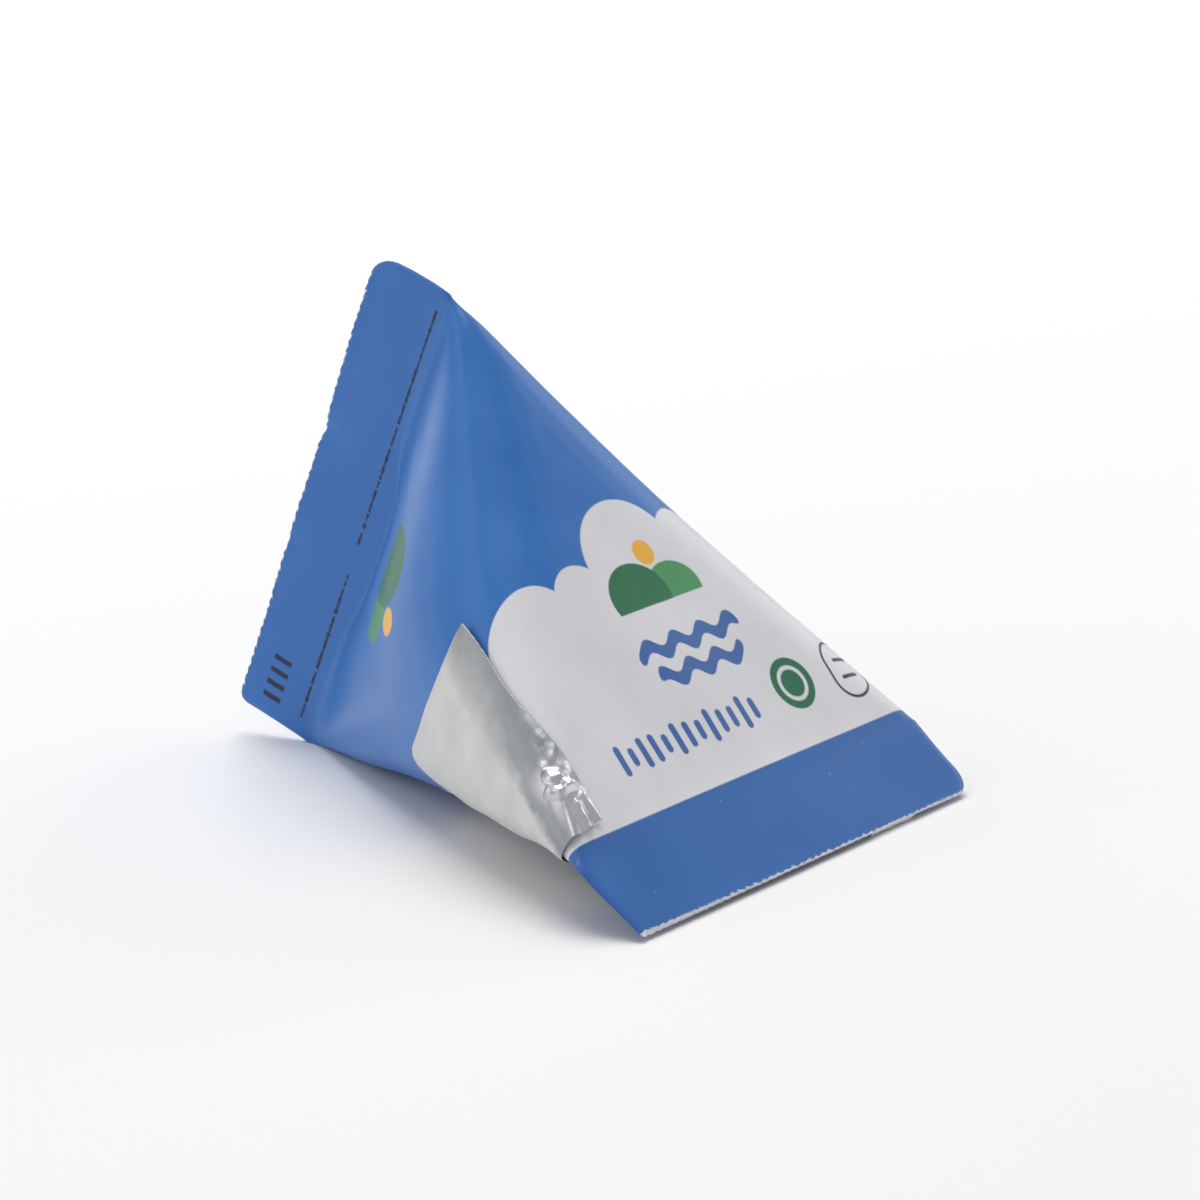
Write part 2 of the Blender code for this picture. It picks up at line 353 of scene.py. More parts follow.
def rest_place(form):
    """The shift that brings the standing paper to the middle of the CAD carton's box, down on its floor."""
    s, t = paper_stations(form)
    s, t = np.meshgrid(s[::4], t[::3], indexing="ij")
    points = stand_up(form, paper_points(form, s, t)).reshape(-1, 3)
    low, high = points.min(axis=0), points.max(axis=0)
    shift = (np.array(CARTON_BOX[0]) + np.array(CARTON_BOX[1])) / 2 - (low + high) / 2
    shift[2] = CARTON_BOX[0][2] - low[2]
    return shift


def set_down(form, points):
    """Stands points of the pack's own frame in their place, trimmed to the CAD carton's box."""
    return np.clip(stand_up(form, points) + rest_place(form), CARTON_BOX[0], CARTON_BOX[1])


# How the cut edges differ from straight ones
WORN_DEPTH = 0.02 * MM
NOTCH_DEPTH = 0.12 * MM
NOTCH_FROM_TOP = 19 * MM
LAYER_STEP = 0.05 * MM
LAYER_STEP_AT_CORNER = 0.3 * MM
CUT_ZONE = 1.2 * MM


def trim_cut_edges(form, s, t):
    """Shortens both fins a little: fine teeth, some wear, and an upper layer shorter than the lower one."""
    height = face_height(form)
    from_top = np.abs(np.mod(s + form.tube_width, 2 * form.tube_width) - form.tube_width)
    from_near = np.abs(np.mod(s + form.tube_width / 2, 2 * form.tube_width) - form.tube_width)
    teeth_top = np.abs(np.mod(from_top / form.tooth_pitch, 1.0) * 2 - 1)
    teeth_near = np.abs(np.mod(from_near / form.tooth_pitch, 1.0) * 2 - 1)
    worn = WORN_DEPTH * (1 + waves(s, 0 * s, 11, 9, 2 * form.tube_width, 40))
    notch = NOTCH_DEPTH * np.exp(-(((from_top - NOTCH_FROM_TOP) / (0.6 * MM)) ** 2))
    front = np.cos(np.pi * s / form.tube_width) > 0
    short = np.where(front, LAYER_STEP + LAYER_STEP_AT_CORNER * np.exp(-from_near / (7 * MM)), 0.0)
    upper_cut = form.tooth * teeth_top + worn + notch
    lower_cut = form.tooth * teeth_near + worn + short
    upright_share = np.clip((-t - form.fin_length) / CUT_ZONE + 1, 0.0, 1.0)
    lower_share = np.clip((t - height - form.fin_length) / CUT_ZONE + 1, 0.0, 1.0)
    return t + upper_cut * upright_share - lower_cut * lower_share


# The lap's width and step, the calm zone beside each seal, and the height of the slow and the fine unevenness
LAP_WIDTH = 6 * MM
LAP_SLOPE = 0.8 * MM
CALM_ZONE = 5 * MM
SLOW_UNEVEN = 0.06 * MM
FINE_UNEVEN = 0.008 * MM

# Fuller places of the paper, in millimetres: height, place round and along, reach round and along
SWELLS = ((0.35, 46, 14, 7, 9), (0.3, 31, 40, 4, 7))


def sheet_relief(form, s, t):
    """How far the paper stands off its smooth form: the lap's step and slight unevenness between seals."""
    height = face_height(form)
    on_lap = s - UV_START_ROUND
    lap = form.wall * (1 - smooth_step((on_lap - LAP_WIDTH) / LAP_SLOPE))
    inner = smooth_step(t / CALM_ZONE) * smooth_step((height - t) / CALM_ZONE)
    uneven = waves(s, t, 5, 14, 2 * form.tube_width, 6) * SLOW_UNEVEN
    fine = waves(s, t, 8, 20, 2 * form.tube_width, 24) * FINE_UNEVEN
    full = 0.0
    for rise, middle_s, middle_t, reach_s, reach_t in SWELLS:
        full = full + rise * MM * bump(s, t, middle_s * MM, middle_t * MM, reach_s * MM, reach_t * MM)
    return lap + inner * (uneven + fine + full)


def place_by_grid(shape, columns, rows, points, uv):
    """Moves a unit grid's vertices to their points and writes the sheet's UV map."""
    layer = shape.loops.layers.uv.new("sheet")
    place = {}
    for vertex in shape.verts:
        column = round((vertex.co.x + 0.5) * columns)
        row = round((vertex.co.y + 0.5) * rows)
        place[vertex] = (column, row)
    for vertex, (column, row) in place.items():
        vertex.co = points[column, row]
    for face in shape.faces:
        for loop in face.loops:
            column, row = place[loop.vert]
            loop[layer].uv = uv[column, row]
    return place


def sheet_uv(s, t):
    return np.stack([(s - UV_START_ROUND) / UV_SPAN, (t - UV_START_ALONG) / UV_SPAN], axis=-1)


def add_piece(name, shape, finishes, smooth_angle=40):
    """Makes a mesh object of a bmesh, at the origin, with its finishes in order."""
    mesh = bpy.data.meshes.new(name)
    shape.to_mesh(mesh)
    shape.free()
    for finish in finishes:
        mesh.materials.append(finish)
    mesh.shade_smooth()
    mesh.set_sharp_from_angle(angle=math.radians(smooth_angle))
    piece = bpy.data.objects.new(name, mesh)
    bpy.context.scene.collection.objects.link(piece)
    return piece


def close_tube(shape, place, columns, printed_faces):
    """Joins the sheet's long edges by the lap's step and closes both cut edges. Returns the bare faces."""
    sides = [[], []]
    for edge in shape.edges:
        ends = {place[vertex][0] for vertex in edge.verts}
        if edge.is_boundary and ends == {0}:
            sides[0].append(edge)
        if edge.is_boundary and ends == {columns}:
            sides[1].append(edge)
    bmesh.ops.bridge_loops(shape, edges=sides[0] + sides[1])
    cut_edges = [edge for edge in shape.edges if edge.is_boundary]
    ends = bmesh.ops.holes_fill(shape, edges=cut_edges)["faces"]
    bmesh.ops.triangulate(shape, faces=ends)
    bmesh.ops.recalc_face_normals(shape, faces=shape.faces)
    return [face for face in shape.faces if face not in printed_faces]


class Wiring:
    """Adds shader nodes to a tree and joins them, so that a formula reads in a few lines."""

    def __init__(self, tree):
        self.tree = tree

    def node(self, kind, **settings):
        made = self.tree.nodes.new(kind)
        for key, value in settings.items():
            setattr(made, key, value)
        return made

    def feed(self, socket, value):
        if isinstance(value, bpy.types.NodeSocket):
            self.tree.links.new(value, socket)
        elif hasattr(value, "__len__") and len(value) == 3 and socket.type == "RGBA":
            socket.default_value = (*value, 1.0)
        else:
            socket.default_value = value

    def math(self, operation, *values, clamp=False):
        made = self.node("ShaderNodeMath", operation=operation, use_clamp=clamp)
        for socket, value in zip(made.inputs, values):
            self.feed(socket, value)
        return made.outputs[0]

    def add(self, first, second):
        return self.math("ADD", first, second)

    def subtract(self, first, second):
        return self.math("SUBTRACT", first, second)

    def multiply(self, first, second):
        return self.math("MULTIPLY", first, second)

    def lowest(self, first, second):
        return self.math("MINIMUM", first, second)

    def highest(self, first, second):
        return self.math("MAXIMUM", first, second)

    def repeat(self, value, pitch):
        """The place within a repeat, from minus half the pitch to plus half."""
        return self.subtract(self.math("FLOORED_MODULO", self.add(value, pitch / 2), pitch), pitch / 2)

    def mix(self, share, first, second):
        made = self.node("ShaderNodeMix", data_type="RGBA")
        self.feed(made.inputs["Factor"], share)
        self.feed(made.inputs["A"], first)
        self.feed(made.inputs["B"], second)
        return made.outputs["Result"]

    def scaled(self, vector, share):
        made = self.node("ShaderNodeVectorMath", operation="SCALE")
        self.feed(made.inputs[0], vector)
        self.feed(made.inputs["Scale"], share)
        return made.outputs[0]

    def group(self, tree, **values):
        made = self.node("ShaderNodeGroup", node_tree=tree)
        for name, value in values.items():
            self.feed(made.inputs[name.replace("_", " ")], value)
        return made

    def noise(self, vector, scale, detail=2.0, roughness=0.5):
        made = self.node("ShaderNodeTexNoise")
        self.feed(made.inputs["Vector"], vector)
        made.inputs["Scale"].default_value = scale
        made.inputs["Detail"].default_value = detail
        made.inputs["Roughness"].default_value = roughness
        return made.outputs["Fac"]

    def ramp(self, value, low, high, to_low=0.0, to_high=1.0):
        made = self.node("ShaderNodeMapRange", clamp=True)
        for socket, given in zip(made.inputs, (value, low, high, to_low, to_high)):
            self.feed(socket, given)
        return made.outputs[0]

    def bump(self, height, strength, distance):
        made = self.node("ShaderNodeBump")
        made.inputs["Strength"].default_value = strength
        made.inputs["Distance"].default_value = distance
        self.feed(made.inputs["Height"], height)
        return made.outputs[0]

    def sheet_vector(self, round_value, along_value, scale):
        """A vector for a noise on the sheet, from a place in millimetres."""
        made = self.node("ShaderNodeCombineXYZ")
        self.feed(made.inputs[0], self.multiply(round_value, scale))
        self.feed(made.inputs[1], self.multiply(along_value, scale))
        return made.outputs[0]


def new_group(name, inputs, outputs):
    """A shader node group with named float sockets, and its wiring, input and output nodes."""
    tree = bpy.data.node_groups.new(name, "ShaderNodeTree")
    for socket in inputs:
        tree.interface.new_socket(name=socket, in_out="INPUT", socket_type="NodeSocketFloat")
    for socket in outputs:
        tree.interface.new_socket(name=socket, in_out="OUTPUT", socket_type="NodeSocketFloat")
    wiring = Wiring(tree)
    return tree, wiring, wiring.node("NodeGroupInput"), wiring.node("NodeGroupOutput")


def inside(wiring, distance):
    """1 where a signed distance in millimetres is below zero, with a soft step."""
    return wiring.ramp(distance, PRINT_EDGE, -PRINT_EDGE)


def sheet_place_group():
    """Millimetres round and along the sheet, read from its UV map."""
    tree, w, _, out = new_group("sheet place", [], ["Round", "Along"])
    uv = w.node("ShaderNodeUVMap", uv_map="sheet")
    split = w.node("ShaderNodeSeparateXYZ")
    w.feed(split.inputs[0], uv.outputs[0])
    w.feed(out.inputs["Round"], w.math("MULTIPLY_ADD", split.outputs[0], UV_SPAN / MM, UV_START_ROUND / MM))
    w.feed(out.inputs["Along"], w.math("MULTIPLY_ADD", split.outputs[1], UV_SPAN / MM, UV_START_ALONG / MM))
    return tree


def oval_group():
    """How far a point is outside an oval, in millimetres."""
    tree, w, given, out = new_group("oval", ["X", "Y", "Half width", "Half height"], ["Distance"])
    x = w.math("DIVIDE", given.outputs["X"], given.outputs["Half width"])
    y = w.math("DIVIDE", given.outputs["Y"], given.outputs["Half height"])
    radius = w.math("SQRT", w.add(w.multiply(x, x), w.multiply(y, y)))
    least = w.lowest(given.outputs["Half width"], given.outputs["Half height"])
    w.feed(out.inputs[0], w.multiply(w.subtract(radius, 1.0), least))
    return tree


def bar_group():
    """How far a point is outside a bar with round ends, in millimetres."""
    tree, w, given, out = new_group("bar", ["X", "Y", "Half length", "Half height"], ["Distance"])
    over = w.highest(w.subtract(w.math("ABSOLUTE", given.outputs["X"]), given.outputs["Half length"]), 0.0)
    far = w.math("SQRT", w.add(w.multiply(over, over), w.multiply(given.outputs["Y"], given.outputs["Y"])))
    w.feed(out.inputs[0], w.subtract(far, given.outputs["Half height"]))
    return tree


def paper_grain_group():
    """Fine fibre relief and slow mottle of coated paper, on object coordinates."""
    tree, w, given, out = new_group("paper grain", ["Scale"], ["Grain", "Mottle"])
    place = w.scaled(w.node("ShaderNodeTexCoord").outputs["Object"], given.outputs["Scale"])
    w.feed(out.inputs["Grain"], w.noise(place, 2600.0, 3.0, 0.6))
    w.feed(out.inputs["Mottle"], w.noise(place, 130.0, 3.0, 0.55))
    return tree


GROUP_MAKERS = {
    "sheet place": sheet_place_group,
    "oval": oval_group,
    "bar": bar_group,
    "paper grain": paper_grain_group,
}


def shared(name):
    """A node group that several finishes use, made once."""
    return bpy.data.node_groups.get(name) or GROUP_MAKERS[name]()


# The print, in millimetres on the sheet: (round, along, radius) of the light panel's lobes
PANEL_LOBES = (
    (22.0, 32.5, 4.6),
    (13.2, 31.2, 5.0),
    (6.3, 30.2, 3.4),
    (-1.8, 28.4, 5.9),
    (-9.6, 28.6, 4.2),
    (-17.0, 31.0, 5.0),
    (-26.0, 32.5, 4.6),
)
PANEL_TOP = 31.5
BAND_EDGE = 48.9

# The print repeats round the tube, and each repeat starts this far before the top corner
REPEAT = 48.0
REPEAT_START = 26.0

# Middle of the near face's hills, round and along
NEAR_HILLS = (23.6, 10.2)

# Middle of the front's hills, and each waved line's place along and half length
FRONT_HILLS = (-1.8, 30.1)
WAVED_LINES = ((36.2, 6.3), (38.8, 5.2))

# The row of short strokes: middle round and along, pitch, half length of the row and half width of a stroke
STROKES = (3.9, 43.9)
STROKE_PITCH = 1.5
STROKE_ROW = 9.6
STROKE_HALF_WIDTH = 0.36

# The dot and the tag: middle round and along, with the dot's radius
DOT = (-11.2, 43.2)
DOT_RADIUS = 2.45
TAG = (-18.5, 43.5)

# The bars at the upright fin's low end: middle round and along, pitch, half width and half length
FIN_BARS = (43.55, -4.7)
FIN_BAR_PITCH = 1.3
FIN_BAR_HALF_WIDTH = 0.26
FIN_BAR_HALF_LENGTH = 0.95
FIN_BAR_ROW = 2.6


class Print(Wiring):
    """Paints plain shapes over a colour. Its sizes are millimetres on the sheet."""

    def __init__(self, tree, ground):
        super().__init__(tree)
        self.colour = ground

    def oval(self, x, y, half_width, half_height):
        made = self.group(shared("oval"), X=x, Y=y, Half_width=half_width, Half_height=half_height)
        return made.outputs[0]

    def bar(self, x, y, half_length, half_height):
        made = self.group(shared("bar"), X=x, Y=y, Half_length=half_length, Half_height=half_height)
        return made.outputs[0]

    def line(self, distance, half_width):
        """The outline of a shape, as a shape of its own."""
        return self.subtract(self.math("ABSOLUTE", distance), half_width)

    def paint(self, distance, ink):
        self.colour = self.mix(inside(self, distance), self.colour, ink[:])

    def paint_share(self, share, ink):
        self.colour = self.mix(share, self.colour, ink[:])


def light_panel(w, u, t):
    """Distance outside the light panel: its lobes, joined to a plain field that runs down to the band."""
    panel = w.subtract(PANEL_TOP, t)
    for middle_round, middle_along, radius in PANEL_LOBES:
        lobe = w.oval(w.subtract(u, middle_round), w.subtract(t, middle_along), radius, radius)
        panel = w.lowest(panel, lobe)
    return panel


def paint_hills(w, colours, x, y):
    """Two hills and a sun, about 11 mm wide and 6 mm high."""
    base = w.subtract(-2.4, y)
    behind = w.highest(w.oval(w.subtract(x, 2.7), w.add(y, 1.7), 3.2, 2.6), base)
    before = w.highest(w.oval(w.add(x, 1.9), w.add(y, 1.5), 3.7, 3.3), base)
    w.paint(w.oval(w.subtract(x, 1.3), w.subtract(y, 2.2), 1.2, 1.2), colours.yellow)
    w.paint(behind, colours.light_green)
    w.paint(before, colours.green)


def paint_front(w, colours, u, t):
    """The marks on the light panel: hills, waves, short strokes, a dot and a plain tag."""
    paint_hills(w, colours, w.subtract(FRONT_HILLS[0], u), w.subtract(FRONT_HILLS[1], t))
    ripple = w.multiply(w.math("SINE", w.multiply(u, 1.7)), 0.5)
    for along, half_length in WAVED_LINES:
        y = w.subtract(w.subtract(t, along), ripple)
        w.paint(w.bar(w.add(u, 2.4), y, half_length, 0.66), colours.mark)
    across = w.subtract(u, STROKES[0])
    number = w.math("ROUND", w.math("DIVIDE", across, STROKE_PITCH))
    tall = w.math("MULTIPLY_ADD", w.math("SINE", w.multiply(number, 2.2)), 0.35, 0.85)
    strokes = w.bar(w.subtract(t, STROKES[1]), w.repeat(across, STROKE_PITCH), tall, STROKE_HALF_WIDTH)
    strokes = w.highest(strokes, w.subtract(w.math("ABSOLUTE", across), STROKE_ROW))
    w.paint(strokes, colours.mark)
    dot = w.oval(w.subtract(u, DOT[0]), w.subtract(t, DOT[1]), DOT_RADIUS, DOT_RADIUS)
    w.paint(dot, colours.green)
    w.paint(w.line(w.add(dot, 0.95), 0.2), colours.panel)
    tag_x, tag_y = w.subtract(u, TAG[0]), w.subtract(t, TAG[1])
    w.paint(w.line(w.bar(tag_y, tag_x, 0.8, 2.2), 0.14), colours.ink)
    for along in (-0.9, 0.9):
        w.paint(w.bar(tag_x, w.subtract(tag_y, along), 0.9, 0.2), colours.ink)


def paint_fin(w, colours, s, t):
    """A fine printed line along the upright seal in dashes, drawn whole within 12 mm of the top corner as
    painted shadow of the fold, and short bars at the fin's low end.
    """
    seal = w.math("MULTIPLY_ADD", s, 0.018, w.add(t, 0.45))
    dashes_and_fold_shadow = w.ramp(w.noise(w.sheet_vector(s, 0.0, 1.15), 1.0, 2.0), 0.40, 0.45)
    # Where s is below 12 mm, near the top corner, the line is drawn whole: painted shadow of the fold along
    # the seal
    dashes_and_fold_shadow = w.highest(dashes_and_fold_shadow, w.ramp(s, 12.2, 11.8))
    dashes_and_fold_shadow = w.multiply(dashes_and_fold_shadow, w.ramp(w.math("ABSOLUTE", w.subtract(s, 28.6)), 1.5, 1.7))
    reach = w.ramp(w.math("ABSOLUTE", w.subtract(s, 24.0)), 21.7, 21.5)
    half_width = w.ramp(w.noise(w.sheet_vector(s, 7.0, 2.1), 1.0, 2.0), 0.35, 0.65, 0.08, 0.19)
    line = inside(w, w.subtract(w.math("ABSOLUTE", seal), half_width))
    w.paint_share(w.multiply(line, w.multiply(dashes_and_fold_shadow, reach)), colours.ink)
    bars = w.subtract(w.math("ABSOLUTE", w.repeat(s, FIN_BAR_PITCH)), FIN_BAR_HALF_WIDTH)
    for value, middle, reach in ((t, FIN_BARS[1], FIN_BAR_HALF_LENGTH), (s, FIN_BARS[0], FIN_BAR_ROW)):
        bars = w.highest(bars, w.subtract(w.math("ABSOLUTE", w.subtract(value, middle)), reach))
    w.paint(bars, colours.ink)


def printed_paper(colours):
    """Coated paper: blue ground, a light scalloped panel, a band and a few plain printed marks."""
    made = bpy.data.materials.new("printed_paper")
    made.use_nodes = True
    w = Print(made.node_tree, colours.blue)
    place = w.group(shared("sheet place"))
    s, t = place.outputs["Round"], place.outputs["Along"]
    # The front and the bottom face carry the same print, and so do the near and the far face
    u = w.subtract(w.math("FLOORED_MODULO", w.add(s, REPEAT_START), REPEAT), REPEAT_START)
    v = w.subtract(w.math("FLOORED_MODULO", s, REPEAT), NEAR_HILLS[0])
    w.colour = w.mix(inside(w, light_panel(w, u, t)), colours.blue[:], colours.panel[:])
    w.paint(w.subtract(BAND_EDGE, t), colours.band)
    paint_front(w, colours, u, t)
    paint_hills(w, colours, v, w.subtract(t, NEAR_HILLS[1]))
    paint_fin(w, colours, s, t)

    # Ink rubbed off in specks at the cut edges, a few light scuffs and a slow mottle
    grain = w.group(shared("paper grain"), Scale=1.0)
    at_cut = w.highest(w.ramp(t, -7.72, -7.84), w.ramp(t, 57.92, 58.04))
    worn = w.multiply(at_cut, w.ramp(w.noise(w.sheet_vector(s, t, 2.6), 1.0, 2.0), 0.50, 0.62))
    w.paint_share(w.multiply(worn, 0.75), colours.paper)
    scuff = w.ramp(w.noise(w.sheet_vector(s, t, 1.3), 1.0, 2.0), 0.765, 0.79)
    w.paint_share(w.multiply(scuff, 0.32), colours.paper)
    tone = w.scaled(w.colour, w.ramp(grain.outputs["Mottle"], 0.3, 0.7, 0.95, 1.05))
    shader = made.node_tree.nodes["Principled BSDF"]
    w.feed(shader.inputs["Base Color"], tone)
    w.feed(shader.inputs["Roughness"], w.ramp(grain.outputs["Mottle"], 0.3, 0.7, 0.30, 0.38))
    w.feed(shader.inputs["Normal"], w.bump(grain.outputs["Grain"], 0.35, 0.00002))
    return made


def cut_paper(colours):
    """The fibrous core of the paper at its cut edges."""
    made = bpy.data.materials.new("cut_paper")
    made.use_nodes = True
    w = Wiring(made.node_tree)
    grain = w.group(shared("paper grain"), Scale=1.6)
    darker = [channel * 0.68 for channel in colours.paper]
    shader = made.node_tree.nodes["Principled BSDF"]
    fibres = w.ramp(grain.outputs["Grain"], 0.35, 0.65)
    w.feed(shader.inputs["Base Color"], w.mix(fibres, darker, colours.paper[:]))
    shader.inputs["Roughness"].default_value = 0.85
    w.feed(shader.inputs["Normal"], w.bump(grain.outputs["Grain"], 0.6, 0.0001))
    return made


# The tab's slanting fold, in millimetres on the sheet: a point of it, and its slant
FOLD_ROUND = 19.9
FOLD_ALONG = 27.7
FOLD_SLANT = 0.23


def tab_foil(colours):
    """Dull foil, in its own colour up to the slanting fold and painted darker past it as shade of the fold's
    far side, with bare and brighter metal where it is crushed by the lower seal.
    """
    made = bpy.data.materials.new("tab_foil")
    made.use_nodes = True
    w = Wiring(made.node_tree)
    place = w.group(shared("sheet place"))
    s, t = place.outputs["Round"], place.outputs["Along"]
    grain = w.group(shared("paper grain"), Scale=1.3)
    # Up to the slanting fold the tab keeps its own colour; past it the colour is painted darker, painted
    # shade of the fold's far side, and the metal shows more
    jag = w.multiply(w.subtract(w.noise(w.sheet_vector(s, t, 0.55), 1.0, 3.0), 0.5), 1.6)
    fold = w.math("MULTIPLY_ADD", w.subtract(t, FOLD_ALONG), FOLD_SLANT, FOLD_ROUND)
    side = w.add(w.subtract(s, fold), jag)
    unshaded = w.ramp(w.math("DIVIDE", side, w.ramp(t, 29.0, 40.0, 1.9, 0.45)), -1.0, 1.0)
    crushed = w.multiply(w.ramp(t, 40.4, 42.4), w.ramp(s, 22.6, 21.0))
    # The darker foil colour past the fold is painted shade, mixed here with the tab's own colour and then the
    # crushed metal
    colour = w.mix(crushed, w.mix(unshaded, colours.foil[:], colours.tab[:]), colours.crushed[:])
    streak = w.ramp(w.noise(w.sheet_vector(s, t, 0.3), 1.0, 3.0), 0.3, 0.7, 0.93, 1.05)
    shader = made.node_tree.nodes["Principled BSDF"]
    w.feed(shader.inputs["Base Color"], w.scaled(colour, streak))
    w.feed(shader.inputs["Metallic"], w.ramp(unshaded, 0.0, 1.0, 1.0, 0.55))
    satin = w.ramp(unshaded, 0.0, 1.0, 0.44, 0.55)
    w.feed(shader.inputs["Roughness"], w.math("MULTIPLY_ADD", crushed, -0.11, satin))
    w.feed(shader.inputs["Normal"], w.bump(grain.outputs["Grain"], 0.35, 0.00004))
    return made


def floor_paint(look):
    made = bpy.data.materials.new("floor_paint")
    made.use_nodes = True
    w = Wiring(made.node_tree)
    shade = w.ramp(w.noise(w.node("ShaderNodeTexCoord").outputs["Object"], 3.0), 0.3, 0.7)
    darker = [channel * 0.99 for channel in look.floor]
    shader = made.node_tree.nodes["Principled BSDF"]
    w.feed(shader.inputs["Base Color"], w.mix(shade, darker, look.floor[:]))
    shader.inputs["Roughness"].default_value = 0.9
    return made


class MILKPACK_OT_paper(Operator):
    """Roll, fold and print the paper of the pack"""

    bl_idname = "milkpack.paper"
    bl_label = "Printed Paper"

    def execute(self, context):
        form, colours = context.scene.milk_pack_form, context.scene.milk_pack_colours
        s, t = paper_stations(form)
        columns, rows = len(s) - 1, len(t) - 1
        s, t = np.meshgrid(s, t, indexing="ij")
        points = paper_points(form, s, trim_cut_edges(form, s, t))
        points = points + grid_normals(points) * sheet_relief(form, s, t)[..., None]
        points = set_down(form, points)
        shape = bmesh.new()
        bmesh.ops.create_grid(shape, x_segments=columns, y_segments=rows, size=0.5)
        place = place_by_grid(shape, columns, rows, points, sheet_uv(s, t))
        for face in close_tube(shape, place, columns, set(shape.faces)):
            face.material_index = 1
        piece = add_piece("printed_pack", shape, [printed_paper(colours), cut_paper(colours)])
        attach(piece, "root")
        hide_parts("carton")
        return {"FINISHED"}


# Folds of the crushed foil, in millimetres on the sheet: start, end, half width and height
FOIL_FOLDS = (
    (19.7, 43.9, 19.1, 47.7, 0.70, 0.30),
    (20.2, 44.2, 20.7, 48.4, 0.65, 0.42),
    (20.9, 43.9, 22.5, 48.4, 0.90, 0.30),
    (18.9, 38.3, 19.3, 41.9, 0.60, 0.06),
    (18.6, 40.2, 19.8, 41.0, 0.50, 0.06),
    (18.8, 36.4, 18.9, 38.8, 0.50, 0.03),
    (20.5, 40.8, 21.3, 43.3, 0.60, 0.10),
    (18.9, 45.0, 20.2, 45.7, 0.50, 0.12),
)


# Fine creases of the crushed foil: direction in radians, pitch and height in millimetres
FOIL_CREASES = ((0.3, 1.7, 0.07), (1.3, 1.4, 0.05), (2.3, 1.9, 0.07), (2.9, 1.1, 0.03))

# Middle of the knot of foil round and along, and its reach, in millimetres
KNOT = (20.5, 43.2)
KNOT_REACH = (1.3, 1.7)


def crushed_foil(s, t):
    """Height of the crushed foil by the lower seal, in millimetres, for places in millimetres."""
    height = 0.0
    for start_s, start_t, end_s, end_t, half_width, rise in FOIL_FOLDS:
        run_s, run_t = end_s - start_s, end_t - start_t
        share = np.clip(((s - start_s) * run_s + (t - start_t) * run_t) / (run_s**2 + run_t**2), 0.0, 1.0)
        away = np.hypot(s - start_s - share * run_s, t - start_t - share * run_t)
        height = height + rise * np.maximum(1 - away / half_width, 0.0)
    small = 0.0
    for turn, pitch, rise in FOIL_CREASES:
        place = (s * math.cos(turn) + t * math.sin(turn)) / pitch
        bent = place + 0.35 * np.sin(1.7 * place + 3 * turn)
        small = small + rise * np.abs(np.mod(bent, 1.0) * 2 - 1)
    around = bump(s, t, 19.9, 43.4, 1.6, 2.2) + 0.2 * bump(s, t, 18.8, 39.5, 0.9, 3.0)
    beside, beyond = s - KNOT[0], t - KNOT[1]
    turn = np.arctan2(beyond, beside)
    reach = 1 + 0.16 * np.sin(3 * turn + 0.6) + 0.11 * np.sin(5 * turn + 2.0)
    knot = np.maximum(1 - (np.hypot(beside / KNOT_REACH[0], beyond / KNOT_REACH[1]) / reach) ** 2, 0.0)
    return height + (0.35 + 3.2 * small) * knot + small * np.minimum(around, 1.0)


